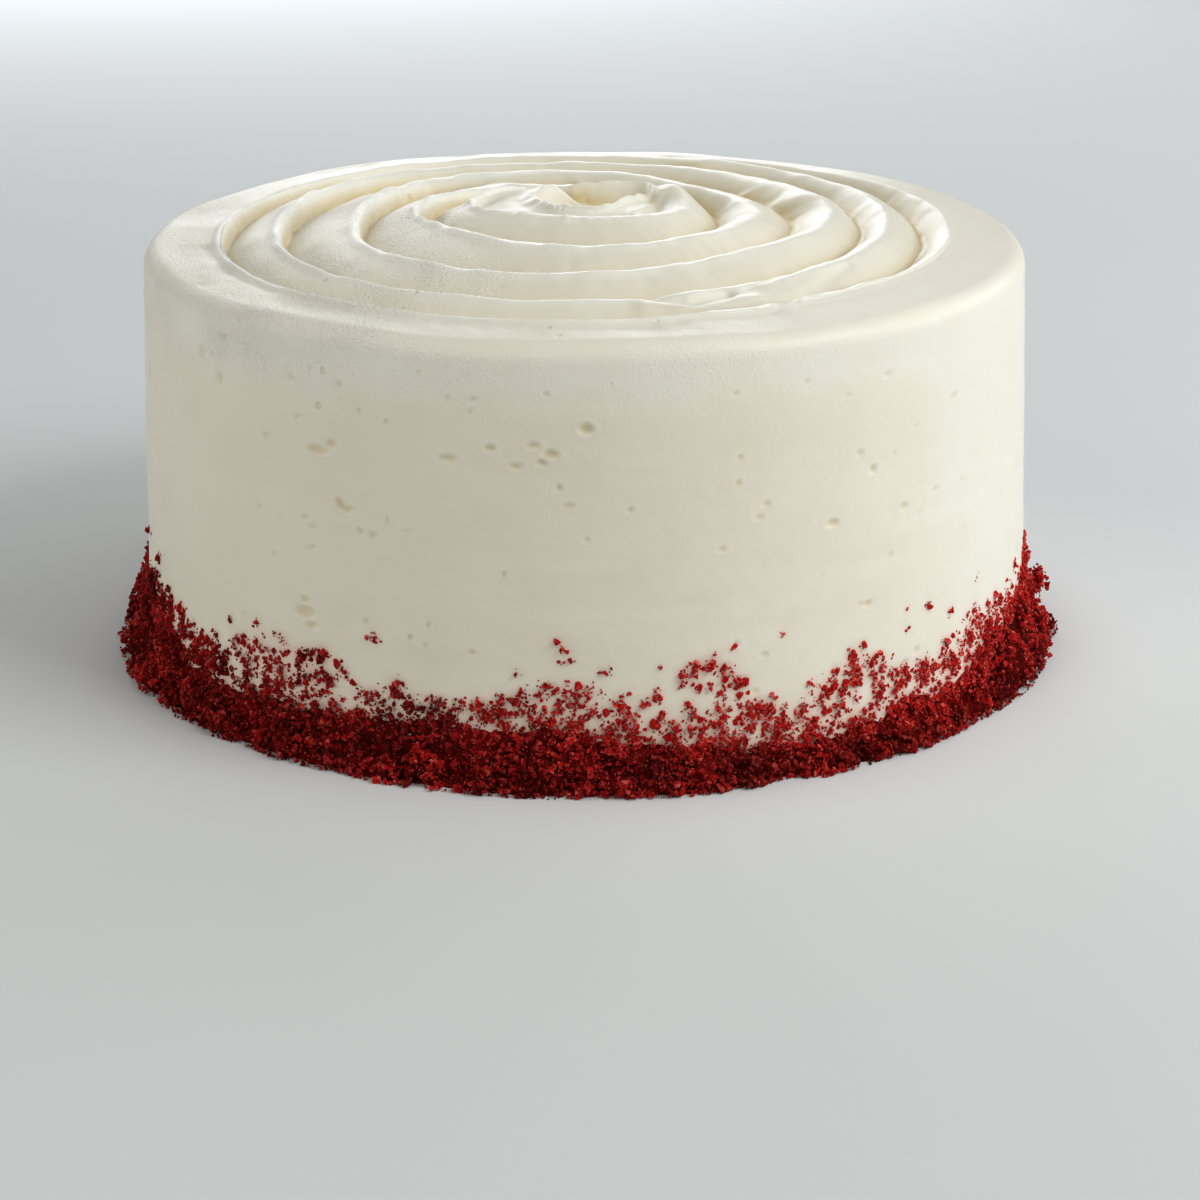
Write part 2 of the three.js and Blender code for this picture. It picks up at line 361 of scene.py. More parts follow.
def crest_radius(sizes, place, azimuth):
    """Distance of the crest from the swirl's centre after so many turns: a smooth curve through the listed
    values, a little ragged. Before its first turn it keeps inside the rounded shoulder."""
    path = curve(CREST, place * 8.0)
    rough = 0.3 * drift(place * 38.0, 0.0 * place, 33) + 0.16 * drift(place * 130.0, 0.0 * place, 34)
    path = path + rough * MM * ease(0.0, 0.1, place) * ease(4.6, 4.0, place)
    edge = sizes.top_radius - sizes.shoulder - RIM_EDGE
    limit = edge - SWIRL_CENTRE[0] * np.cos(azimuth) - SWIRL_CENTRE[1] * np.sin(azimuth)
    return np.minimum(np.where(place < 0.0, limit, path), limit)


def strokes(x, y):
    """Rise of the folds and ridges: each is a rounded bank along its line of points, fading at its ends."""
    rise = np.zeros_like(x)
    for wide, high, line in STROKES:
        nearest = np.full_like(x, 1.0e9)
        for (x0, y0), (x1, y1) in zip(line[:-1], line[1:]):
            long = (x1 - x0) ** 2 + (y1 - y0) ** 2
            t = np.clip(((x / MM - x0) * (x1 - x0) + (y / MM - y0) * (y1 - y0)) / long, 0.0, 1.0)
            nearest = np.minimum(nearest, np.hypot(x / MM - x0 - t * (x1 - x0), y / MM - y0 - t * (y1 - y0)))
        rise += high * np.exp(-((nearest / wide) ** 2))
    return rise * MM


def bowl_shape(x, y):
    """Rise of the bowl in the middle, and how hollow it is: a rolled lip along a closed curve, and a hollow
    inside it with an eased wall."""
    aside, back = x - BOWL_CENTRE[0], y - BOWL_CENTRE[1]
    listed = (BOWL_LIP[-1], *BOWL_LIP, *BOWL_LIP[:3])
    lip = curve(listed, 1.0 + (np.arctan2(back, aside) % TURN) / TURN * 8.0)
    far = np.maximum(np.hypot(aside, back), 0.1 * MM)
    outside = (far - lip) / MM
    hollow = ease(0.3, 5.0 + 1.5 * back / far + 3.5 * np.maximum(-aside / far, 0.0), -outside)
    roll = 1.5 * np.exp(-((outside / (1.7 - 0.6 * aside / far)) ** 2))
    roll = roll * (1.0 + 0.25 * across(x, y, 2.6 * MM, 36))
    return (roll - 4.6 * hollow) * MM, hollow


def spots(x, y):
    """Rise of the bumps and dents round the middle: each is a rounded hill or hollow."""
    return sum(
        rise * MM * np.exp(-(((x / MM - x0) / wide) ** 2) - ((y / MM - y0) / deep) ** 2)
        for x0, y0, wide, deep, rise in SPOTS)


def groove_depth(sizes, place, azimuth):
    """Depth of the groove after so many turns: it eases in at its start and out at its end. It is shallower
    for a short stretch at the front right of its first turn, at the back left, and from its fifth turn on."""
    depth = sizes.groove_depth * ease(0.02, 0.15, place) * ease(5.0, 4.55, place)
    short_stretch = np.exp(-(((place - 0.42) / 0.05) ** 2))
    depth = depth * (1.0 - 0.7 * short_stretch) * (1.0 - 0.7 * ease(4.0, 4.1, place))
    back_left = np.exp(-(((np.degrees(azimuth) % 360.0 - 116.0) / 20.0) ** 2))
    return depth * (1.0 - 0.65 * back_left * ease(1.4, 2.8, place) * ease(3.97, 3.9, place))


def crest_bead(groove, along, share, azimuth):
    """The thin bead that stands up just before a crest, and how much painted highlight it gets there: a round
    ridge of uneven thickness, strongest on the left and nearly gone at the right."""
    place = groove + share
    ahead = along - (along > 0.5)
    strength = ease(0.05, 0.2, np.where(groove < 0, share, place)) * ease(4.85, 4.6, place)
    strength = strength * (0.62 - 0.55 * np.cos(azimuth) - 0.1 * np.sin(azimuth))
    thick = 1.0 + 0.6 * drift((place + (along > 0.5)) * 60.0, 0.0 * along, 35)
    ridge = 0.75 * MM * np.exp(-(((ahead + 0.08) / 0.07) ** 2)) * thick
    # painted highlight, strongest just before the crest
    pale = np.exp(-(((ahead + 0.05) / 0.08) ** 2))
    return ridge * strength, pale * strength


def top_height(sizes, groove, along, share, azimuth, x, y):
    """Height of the top and how much painted shade it gets: its hollows and sharp bottoms take a warmer
    cream, and below 0 along its crests a painted highlight goes. Going inwards from a crest the surface drops
    ever more steeply to a sharp bottom and rises to the next crest, bulging, and the whole is a low dome.
    share is the part of a turn that has passed since the back, clockwise. The drop is narrowest on the left
    and widest on the right."""
    place = groove + share
    dome = DOME_RISE * np.clip(1.0 - (np.hypot(x, y) / DOME_RADIUS) ** 2, 0.0, 1.0) ** 1.2
    depth = groove_depth(sizes, place, azimuth)
    drop_share = 0.26 + 0.18 * np.cos(azimuth) + 0.05 * np.sin(azimuth)
    drop = np.clip(along / drop_share, 0.0, 1.0) ** 1.7
    rise = np.clip((along - drop_share) / (1.0 - drop_share), 0.0, 1.0)
    bulge = 1.35 + 0.8 * np.cos(azimuth) ** 2
    fill = np.where(along < drop_share, 1.0 - drop, 1.0 - (1.0 - rise) ** bulge)
    outside = groove < 0
    hollow = np.where(outside, 0.0, depth * (1.0 - fill))
    lip = CREST_RISE * np.where(outside, along**1.3 * ease(0.0, 0.2, share), ease(0.0, 0.2, place))
    # the bead's second value is the painted highlight along the crest
    bead, pale = crest_bead(groove, along, share, azimuth)
    bowl, bowl_shade = bowl_shape(x, y)
    relief = 0.3 * MM * across(x, y, 13.0 * MM, 31) + 0.14 * MM * across(x, y, 3.6 * MM, 32)
    height = sizes.rim_height + lip + bead + np.where(outside, 0.0, dome + spots(x, y) + bowl) - hollow
    # painted shade: a dark line of warmer cream along the sharp bottom of each groove
    bottom_shade = 0.5 * np.exp(-(((along - drop_share) / 0.07) ** 2)) * depth * (1.0 - outside)
    painted_shade = (hollow * np.where(along < drop_share, 0.9, 0.5) + bottom_shade) / sizes.groove_depth
    # painted shade in the hollows, bottoms and bowl, less the painted highlight along the crests
    return height + relief + strokes(x, y), np.clip(painted_shade + 0.7 * bowl_shade, 0.0, 1.4) - pale


def swirl_rows(sizes, azimuth):
    """Points of the swirl: rings that close in turn by turn, each between two crests, and crowd at them."""
    even = (np.arange(SWIRL_ROWS) / ROWS_A_TURN)[:, None]
    share = (0.25 - azimuth / TURN) % 1.0
    turns = even - ROW_PULL / TURN * np.sin(TURN * (even - share))
    passed = turns - share
    groove = np.floor(passed)
    along = passed - groove
    share = share + 0.0 * turns
    azimuth = azimuth + 0.0 * turns
    outer = crest_radius(sizes, groove + share, azimuth)
    inner = crest_radius(sizes, groove + share + 1.0, azimuth)
    radius = outer + (inner - outer) * along
    x = SWIRL_CENTRE[0] + radius * np.cos(azimuth)
    y = SWIRL_CENTRE[1] + radius * np.sin(azimuth)
    height, hollow = top_height(sizes, groove, along, share, azimuth, x, y)
    return np.stack([x, y, height], axis=-1), hollow


def wall_rows(sizes, azimuth, heights):
    """Points of the wall at the given heights, pushed in and out by its relief and bubbles."""
    azimuth, heights = np.broadcast_arrays(azimuth, heights[:, None])
    depth, shown = bubbles(azimuth, heights)
    radius = wall_radius(sizes, heights) + wall_relief(azimuth, heights) - depth
    return polar(radius, azimuth, heights), shown


def shoulder_rows(sizes, azimuth, first_ring):
    """Points from the seam over the rounded shoulder and across the rim to the first ring of the swirl."""
    straight, _ = wall_rows(sizes, azimuth, np.array([SEAM_HEIGHT]))
    bend = np.linspace(0.0, 0.25 * TURN, SHOULDER_ROWS)[:, None]
    start = wall_radius(sizes, sizes.rim_height - sizes.shoulder) + wall_relief(azimuth, SEAM_HEIGHT)
    radius = start + sizes.shoulder * (np.cos(bend) - 1.0)
    height = sizes.rim_height + sizes.shoulder * (np.sin(bend) - 1.0)
    wave = 0.4 * MM * around(azimuth, 0.0 * azimuth, 22.0 * MM, 21)
    height = height + wave * np.sin(bend)
    over = polar(radius, azimuth, height)
    part = (np.arange(1, RIM_ROWS) / RIM_ROWS)[:, None, None]
    rim = over[-1] * (1.0 - part) + first_ring * part
    rough = 0.10 * MM * across(rim[..., 0], rim[..., 1], 3.0 * MM, 22)
    rim[..., 2] += rough * np.sin(math.pi * part[..., 0])
    return np.concatenate([straight, over, rim])


def coarse_grain(points):
    """How coarse the frosting's skin is, from 0 to 1: coarsest on the left of the top and its shoulder,
    slightly so round the front left of the rim, and smooth in the middle of the top and down the wall."""
    x, y, height = points.T
    left = ease(0.35, 0.98, -np.cos(np.arctan2(y, x) - 0.05 * TURN))
    upper = ease(80.0 * MM, 101.0 * MM, height)
    left = left * ease(22.0 * MM, 52.0 * MM, np.hypot(x, y))
    side = ease(0.93, 1.0, -x / (115.0 * MM))
    front_left = ease(-0.3, 0.6, np.cos(np.arctan2(y, x) - math.radians(232.0)))
    pitted = 0.1 * upper * front_left * ease(88.0 * MM, 98.0 * MM, np.hypot(x, y))
    return np.clip(0.02 + pitted + 0.8 * left * upper + 0.35 * side, 0.0, 1.0)


def build_top(context):
    """The top of the frosting, from the seam in the wall over the shoulder and the swirl to its centre."""
    sizes = context.scene.cake_sizes
    azimuth = columns()
    swirl, hollow = swirl_rows(sizes, azimuth)
    border = shoulder_rows(sizes, azimuth, swirl[0])
    grid = np.concatenate([border, swirl])
    shown = np.concatenate([np.zeros(border.shape[:2]), hollow])
    middle = np.array([[SWIRL_CENTRE[0], SWIRL_CENTRE[1], swirl[-1, :, 2].mean()]])
    points = np.concatenate([grid.reshape(-1, 3), middle])
    values = {
        "hollow": np.append(shown.ravel(), shown[-1].mean()),
        "stain": np.zeros(len(points)),
        "rough": coarse_grain(points),
    }
    faces = [quads(len(grid), COLUMNS), fan(len(grid) - 1, len(points) - 1, True)]
    return new_mesh("frosting_top", points, faces, values)


def build_wall(context, grains):
    """The wall of the frosting with its flat underside, up to the seam below the shoulder. Its middle at the
    front left, its shaded side, is a little warmer cream: painted shade."""
    sizes = context.scene.cake_sizes
    azimuth = columns()
    low = np.linspace(0.0, LOW_TOP, LOW_ROWS)
    heights = np.concatenate([low[:-1], np.linspace(LOW_TOP, SEAM_HEIGHT, WALL_ROWS - LOW_ROWS + 1)])
    grid, shown = wall_rows(sizes, azimuth, heights)
    points = np.concatenate([grid.reshape(-1, 3), [[0.0, 0.0, 0.0]]])
    stained = stain(grid, grains)
    # painted shade: the middle of the wall at the front left, its shaded side, turns a little warmer
    warm_shade = 0.19 * ease(0.1, 0.9, np.cos(azimuth - math.radians(250.0)))
    warm_shade = warm_shade * ease(SEAM_HEIGHT, 85.0 * MM, heights[:, None])
    values = {
        # painted shade: bubble dips and the shaded front left take the warmer hollow cream
        "hollow": np.append((0.42 * shown + warm_shade).ravel(), 0.0),
        "stain": np.append(stained.ravel(), 0.0),
        "rough": coarse_grain(points),
    }
    faces = [quads(len(grid), COLUMNS), fan(0, len(points) - 1, False)]
    return new_mesh("frosting_wall", points, faces, values)


STAIN_STEP = 0.5 * MM
STAIN_TOP = 60.0 * MM
STAIN_RADIUS = 116.0 * MM  # of the wall near its foot
STAIN_REACH = 119.5 * MM  # crumbs further out than this don't touch the wall


def stain(grid, grains):
    """How strongly crumbs have stained the wall: their sizes are summed on a fine map of the wall, blurred
    over about 2 mm and read back at each point."""
    wide, tall = round(TURN * STAIN_RADIUS / STAIN_STEP), round(STAIN_TOP / STAIN_STEP)
    x, y, height = grains["place"].T
    column = (np.arctan2(y, x) % TURN / TURN * wide).astype(int) % wide
    row = np.clip((height / STAIN_STEP).astype(int), 0, tall - 1)
    near = np.hypot(x, y) < STAIN_REACH
    ink = np.zeros((tall, wide))
    np.add.at(ink, (row[near], column[near]), (grains["size"][near] / MM) ** 2)
    for _ in range(6):
        ink = (np.roll(ink, 1, 1) + ink + np.roll(ink, -1, 1)) / 3.0
        padded = np.pad(ink, ((1, 1), (0, 0)))
        ink = (padded[:-2] + padded[1:-1] + padded[2:]) / 3.0
    columns_read = (np.arctan2(grid[..., 1], grid[..., 0]) % TURN / TURN * wide).astype(int) % wide
    rows_read = np.clip((grid[..., 2] / STAIN_STEP).astype(int), 0, tall - 1)
    read = np.where(grid[..., 2] < STAIN_TOP - 2.0 * MM, ink[rows_read, columns_read], 0.0)
    return 1.0 - np.exp(-1.6 * read)


# -------- crumbs


BANK_COLUMNS = 1060
BANK_SLOPE_ROWS = 80
BANK_RISE = 15.0 * MM  # height that its noise spans, from the floor to its upper edge
BANK_RADIUS = 119.0 * MM  # of its slope, halfway up
BANK_INNER = 110.0 * MM  # inner radius of its core, inside the frosting
BANK_DEPTH = 1.1 * MM  # how far its core keeps behind the grains
BANK_GRAIN = 1.45 * MM  # from one packed grain of its core to the next


def bank_point(sizes, azimuth, climb):
    """A point on the slope of the crumb bank and the direction out of it: climb goes from 0 at the floor to
    1 where the bank ends on the wall, along a slightly hollow line."""
    flat = 0.0 * azimuth
    solid = level(azimuth, SOLID)
    top = solid + (1.3 * around(azimuth, flat, 7.0 * MM, 41) + 1.2 * around(azimuth, flat, 3.0 * MM, 40)) * MM
    reach = sizes.bank_reach + (0.8 * around(azimuth, flat, 11.0 * MM, 42) + 0.06 * (solid / MM - 13.0)) * MM
    reach = reach + 0.9 * MM * around(azimuth, flat, 4.0 * MM, 47)
    wall = wall_radius(sizes, top) - 0.3 * MM
    height = top * climb
    radius = wall + (reach - wall) * (1.0 - climb) ** 1.25
    slope = np.hypot(top, reach - wall)
    return radius, height, top / slope, (reach - wall) / slope


def bank_lumps(azimuth, climb):
    """How far the bank stands out in lumps of crumbs: clumps of about 8 mm and 4 mm, with gaps between."""
    height = climb * BANK_RISE
    lumps = 3.2 * around(azimuth, height, 7.5 * MM, 44) + 2.2 * around(azimuth, height, 3.8 * MM, 45)
    return np.maximum(lumps, -1.8) * MM * ease(-0.05, 0.15, climb) - 0.3 * MM


def packed(u, v, seed, period):
    """Relief of grains packed side by side: every unit cell holds one at random, and a point takes the
    highest of the round caps that cover it, from 0 between the grains to 1 on the largest."""
    random = np.random.default_rng(seed)
    shift_u, shift_v = random.uniform(0.0, 1.0, (2, period, NOISE_CELLS))
    size = random.uniform(0.5, 1.0, (period, NOISE_CELLS))
    best = np.zeros_like(u)
    for step_u in (-1, 0, 1):
        for step_v in (-1, 0, 1):
            i, j = np.floor(u).astype(int) + step_u, np.floor(v).astype(int) + step_v
            cell = (i % period, j % NOISE_CELLS)
            gap = (u - i - shift_u[cell]) ** 2 + (v - j - shift_v[cell]) ** 2
            best = np.maximum(best, np.sqrt(np.clip(size[cell] ** 2 - gap, 0.0, 1.0)))
    return best


def build_bank(context):
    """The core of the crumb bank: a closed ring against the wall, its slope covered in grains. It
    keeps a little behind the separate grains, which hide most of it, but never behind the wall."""
    sizes = context.scene.cake_sizes
    azimuth = (np.arange(BANK_COLUMNS) / BANK_COLUMNS * TURN)[None, :]
    climb = np.linspace(0.0, 1.0, BANK_SLOPE_ROWS)[:, None]
    radius, height, out, up = bank_point(sizes, azimuth, climb)
    period = round(TURN * BANK_RADIUS / BANK_GRAIN)
    steps = climb * BANK_RISE / BANK_GRAIN
    coarse = packed(azimuth / TURN * period + 0.0 * steps, steps + 0.0 * azimuth, 43, period)
    rise = (1.2 * MM * (coarse - 0.75) + bank_lumps(azimuth, climb)) * ease(1.02, 0.85, climb) - BANK_DEPTH
    radius = radius + rise * out - 0.9 * MM * ease(0.12, 0.0, climb)
    height = np.maximum(height + rise * up * ease(0.0, 0.1, climb), 0.0)
    height[0] = 0.0
    least = (0.25 + 0.6 * coarse) * MM * ease(1.02, 0.9, climb)
    radius = np.maximum(radius, wall_radius(sizes, height) + least)
    radius = np.concatenate([radius, np.full((2, BANK_COLUMNS), BANK_INNER)])
    height = np.concatenate([height, height[-1:], np.zeros((1, BANK_COLUMNS))])
    points = polar(radius, azimuth, height)
    shown = np.concatenate([coarse, np.zeros((2, BANK_COLUMNS))])
    mottle = 0.35 + 0.35 * around(azimuth, height, 3.0 * MM, 46)
    faces = [quads(len(points), BANK_COLUMNS, closed=True)]
    # painted shade between the packed grains, where the tone falls to the darkest, and a painted highlight on
    # their caps
    values = {"tone_and_painted_light": 0.6 * mottle * shown, "tip_highlight": 0.4 * shown}
    return new_mesh("crumb_bank", points.reshape(-1, 3), faces, values, smooth=False)


def on_bank(random, sizes, count, sunk):
    """Places all over the slope of the bank, sunk into it or standing out by a random part of a grain, and
    never inside the wall."""
    azimuth = random.uniform(0.0, TURN, count)
    climb = random.uniform(-0.02, 1.02, count)
    radius, height, out, up = bank_point(sizes, azimuth, np.clip(climb, 0.0, 1.0))
    lift = random.uniform(-sunk, 0.5, count) * MM + bank_lumps(azimuth, climb)
    height = height + lift * up
    least = random.uniform(0.1, 0.9, count) * MM
    radius = np.maximum(radius + lift * out, wall_radius(sizes, height) + least)
    return polar(radius, azimuth, height)


CLUMP_COUNT = 5200
CLUMP_TRIES = 7 * CLUMP_COUNT  # random spots, most of which are given up


def clump_hearts(random):
    """Middles and radii of the clumps that cling to the wall above the bank. A random spot keeps its clump
    where a patchy noise stays below the cover wanted there, which fades out up to the scatter level."""
    azimuth = random.uniform(0.0, TURN, CLUMP_TRIES)
    height = random.uniform(3.0, 34.0, CLUMP_TRIES) * MM
    solid, scatter = level(azimuth, SOLID), level(azimuth, SCATTER)
    share = (height - solid) / (scatter - solid)
    cover = np.where(share < 0.0, 1.5, np.clip(1.0 - share, 0.0, 1.0) ** 0.3)
    patch = 0.6 * around(azimuth, height, 5.5 * MM, 51, 1.2)
    patch = patch + 0.4 * around(azimuth, height, 2.4 * MM, 52)
    kept = np.flatnonzero((0.5 + 0.85 * patch < cover) & (share > -0.3))[:CLUMP_COUNT]
    ball = 0.5 + 2.0 * random.uniform(0.0, 1.0, len(kept)) ** 2.4
    ball *= np.where(share[kept] < 0.6, 1.0, 0.8)
    seen, heights, balls = np.array(CLUMPS, float).T
    azimuth = np.concatenate([azimuth[kept], np.radians(seen)])
    height = np.concatenate([height[kept], heights * MM])
    return azimuth, height, np.concatenate([ball, balls]) * MM


def on_wall(random, sizes, count, hearts):
    """Places gathered into the clumps on the wall: each clump is a few ragged arms of grains, flat against
    the wall."""
    azimuth, height, ball = hearts
    weight = (ball / MM) ** 2 + 0.15
    owner = random.choice(len(ball), count, p=weight / weight.sum())
    arm = random.integers(0, 4, count) * 1.7 + owner * 2.4
    along = np.abs(random.normal(0.0, 0.55, count)) * ball[owner]
    aside = along * np.cos(arm) + random.normal(0.0, 0.26, count) * ball[owner]
    upward = along * np.sin(arm) + random.normal(0.0, 0.26, count) * ball[owner]
    far = np.hypot(aside, upward) / ball[owner]
    out = random.uniform(0.0, 0.75, count) * ball[owner] * np.clip(1.1 - far, 0.05, 1.0)
    height = height[owner] + upward
    radius = wall_radius(sizes, height) + out - 0.1 * MM
    return polar(radius, azimuth[owner] + aside / radius, height)


# The pieces of grains: name, share of the number set, least and largest size in millimetres, share that
# clings to the wall, how deep they sink into the bank, rings and spokes of each grain's ball, seed.
GRAINS = (
    ("crumbs_coarse", 0.27, 1.2, 2.4, 0.30, 1.2, 3, 6, 61),
    ("crumbs_medium", 0.52, 0.9, 1.6, 0.66, 0.9, 2, 5, 62),
    ("crumbs_fine", 1.04, 0.5, 1.0, 0.48, 0.5, 1, 5, 63),
    ("crumbs_specks", 1.04, 0.4, 0.85, 0.80, 0.3, 1, 5, 64),
)
LOOSE_CLUMP = np.array((121.3, 2.0, 10.0)) * MM  # a clump that leans on the bank at the right
LOOSE_ONE_IN = 180  # one grain of so many belongs to it


def grain_tone_and_painted_light(random, place):
    """The tone of crumbs with painted light in it, 0 for the darkest, 1 for plain red and more for the paler
    ones at the right, where painted light stands in for the strong light there: partly random for each,
    partly in patches, whose dark parts are painted shade between clumps."""
    azimuth = np.arctan2(place[:, 1], place[:, 0]) % TURN
    # patches: partly random tone, partly painted shade where clumps shade one another
    patch = 0.5 + 0.5 * around(azimuth, place[:, 2], 8.0 * MM, 71, 1.5)
    patch = patch + 0.5 * around(azimuth, place[:, 2], 3.5 * MM, 72)
    # painted light: crumbs at the right, where the strongest light falls, are paler
    pale = ease(0.1, 1.0, np.cos(azimuth - math.radians(335.0))) * ease(4.0 * MM, 12.0 * MM, place[:, 2])
    return np.clip(0.5 * random.uniform(0.0, 1.0, len(place)) ** 1.2 + 0.52 * patch + pale, 0.0, 1.8)


def all_grains(sizes):
    """Every separate crumb, piece by piece: its place, its size and its tint. None goes through the floor or
    lies outside the bank."""
    hearts = clump_hearts(np.random.default_rng(70))
    grains = {}
    for name, share, least, most, clinging, sunk, _, _, seed in GRAINS:
        random = np.random.default_rng(seed + 100)
        count = round(share * sizes.grains)
        wall = round(clinging * count)
        clinging_place = on_wall(random, sizes, wall, hearts)
        place = np.concatenate([clinging_place, on_bank(random, sizes, count - wall, sunk)])
        size = (random.uniform(0.0, 1.0, count) ** 1.5 * (most - least) + least) * MM
        apart = count // LOOSE_ONE_IN
        place[:apart] = LOOSE_CLUMP + random.normal(0.0, 1.0, (apart, 3)) * (1.2 * MM, 1.2 * MM, 1.7 * MM)
        place[:, 2] = np.maximum(place[:, 2], 0.42 * size)
        reach = np.hypot(place[:, 0], place[:, 1])
        place[:, :2] *= np.minimum(1.0, (sizes.bank_reach + 2.2 * MM) / reach)[:, None]
        grains[name] = {"place": place, "size": size, "tone_and_painted_light": grain_tone_and_painted_light(random, place)}
    return grains


def grain_ball(rings, spokes):
    """A small ball as a grid of tilt and turn, with a pole at each end: its directions and faces."""
    tilt = (np.arange(1, rings + 1) / (rings + 1)) * math.pi
    turn = (np.arange(spokes) / spokes * TURN)[None, :] + 0.5 * np.arange(rings)[:, None] * TURN / spokes
    flat, tall = np.sin(tilt)[:, None], np.cos(tilt)[:, None]
    body = np.stack(np.broadcast_arrays(flat * np.cos(turn), flat * np.sin(turn), tall), axis=-1)
    directions = np.concatenate([[[0.0, 0.0, 1.0]], body.reshape(-1, 3), [[0.0, 0.0, -1.0]]])
    faces = []
    last = len(directions) - 1
    for spoke in range(spokes):
        after = (spoke + 1) % spokes
        faces.append((0, 1 + spoke, 1 + after))
        faces.append((last, last - spokes + after, last - spokes + spoke))
        for ring in range(rings - 1):
            low, high = 1 + (ring + 1) * spokes, 1 + ring * spokes
            faces.append((high + spoke, low + spoke, high + after))
            faces.append((high + after, low + spoke, low + after))
    return directions, np.array(faces)


def turned(random, count):
    """Random rotations as matrices, from random unit quaternions."""
    q = random.normal(size=(count, 4))
    w, x, y, z = (q / np.linalg.norm(q, axis=1)[:, None]).T
    return np.stack([
        1 - 2 * (y * y + z * z), 2 * (x * y - z * w), 2 * (x * z + y * w),
        2 * (x * y + z * w), 1 - 2 * (x * x + z * z), 2 * (y * z - x * w),
        2 * (x * z - y * w), 2 * (y * z + x * w), 1 - 2 * (x * x + y * y)], axis=-1).reshape(count, 3, 3)


def build_grains(name, grains, rings, spokes, seed):
    """One mesh of many crumbs: each is a small ball whose points are pushed in and out at random, squashed,
    turned and set in its place. The points that stick out get a painted highlight."""
    random = np.random.default_rng(seed)
    directions, ball_faces = grain_ball(rings, spokes)
    count, corners = len(grains["size"]), len(directions)
    push = random.uniform(0.5, 1.2, (count, corners)) ** 1.2
    squash = random.uniform(0.65, 1.25, (count, 1, 3))
    local = directions[None] * push[..., None] * squash * (0.5 * grains["size"])[:, None, None]
    points = np.einsum("nij,nkj->nki", turned(random, count), local) + grains["place"][:, None, :]
    points[..., 2] = np.maximum(points[..., 2], 0.0)
    faces = (ball_faces[None] + (np.arange(count) * corners)[:, None, None]).reshape(-1, 3)
    tone_and_painted_light = np.repeat(grains["tone_and_painted_light"], corners)
    # painted highlight: the further a point sticks out, the brighter it is painted
    tip_highlight = ((push - push.min()) / (push.max() - push.min())).ravel()
    return new_mesh(name, points.reshape(-1, 3), [faces], {"tone_and_painted_light": tone_and_painted_light, "tip_highlight": tip_highlight}, smooth=False)


# -------- materials


class Wire:
    """A shader socket that takes part in arithmetic: each operator adds one Math node."""

    def __init__(self, shader, socket):
        self.shader = shader
        self.socket = socket

    def math(self, operation, *values):
        """The outcome of a Math node on these values."""
        return self.shader.node("ShaderNodeMath", {"operation": operation}, dict(enumerate(values)))

    def __add__(self, other):
        return self.math("ADD", self, other)

    def __radd__(self, other):
        return self.math("ADD", other, self)

    def __sub__(self, other):
        return self.math("SUBTRACT", self, other)

    def __rsub__(self, other):
        return self.math("SUBTRACT", other, self)

    def __mul__(self, other):
        return self.math("MULTIPLY", self, other)

    def __rmul__(self, other):
        return self.math("MULTIPLY", other, self)

    def clamped(self):
        """The value kept between 0 and 1."""
        return self.shader.node("ShaderNodeClamp", {}, {0: self})


class Shader:
    """The node tree of one material, built up by expressions."""

    def __init__(self, name):
        self.material = bpy.data.materials.new(name)
        self.material.use_nodes = True
        self.tree = self.material.node_tree
        self.tree.nodes.clear()
        self.place = self.node("ShaderNodeTexCoord", {}, {}, "Object")

    def node(self, kind, settings, inputs, output=0):
        """Any node: its settings first, then the values or links of its inputs."""
        node = self.tree.nodes.new(kind)
        for key, value in settings.items():
            setattr(node, key, value)
        for key, value in inputs.items():
            if isinstance(value, Wire):
                self.tree.links.new(value.socket, node.inputs[key])
            else:
                node.inputs[key].default_value = value
        return Wire(self, node.outputs[output]) if node.outputs else node

    def attribute(self, name):
        """A number stored at the points of the mesh."""
        return self.node("ShaderNodeAttribute", {"attribute_name": name}, {}, "Fac")

    def noise(self, scale, detail=2.0, rough=0.5):
        """Cloudy noise from 0 to 1, with scale cells to the metre."""
        inputs = {"Vector": self.place, "Scale": scale, "Detail": detail, "Roughness": rough}
        return self.node("ShaderNodeTexNoise", {}, inputs, "Fac")

    def cells(self, scale):
        """Distance from the nearest of random points, with about scale of them to the metre."""
        inputs = {"Vector": self.place, "Scale": scale, "Randomness": 1.0}
        return self.node("ShaderNodeTexVoronoi", {"feature": "F1"}, inputs, "Distance")

    def between(self, low, high, value):
        """A smooth step of a value from 0 at low to 1 at high."""
        inputs = {"Value": value, "From Min": low, "From Max": high}
        return self.node("ShaderNodeMapRange", {"interpolation_type": "SMOOTHSTEP"}, inputs)

    def mix(self, share, first, second):
        """A blend of two colours."""
        first, second = (c if isinstance(c, Wire) else (*c, 1.0) for c in (first, second))
        return self.node("ShaderNodeMix", {"data_type": "RGBA"}, {0: share, 6: first, 7: second}, 2)

    def bump(self, height, distance, strength):
        """A bent normal from a height that counts in units of distance."""
        return self.node("ShaderNodeBump", {}, {"Height": height, "Distance": distance, "Strength": strength})

    def finish(self, **inputs):
        """The principled surface, with its constants set on its own sockets."""
        inputs = {key.replace("_", " "): value for key, value in inputs.items()}
        surface = self.node("ShaderNodeBsdfPrincipled", {}, inputs)
        self.node("ShaderNodeOutputMaterial", {}, {"Surface": surface})
        return self.material


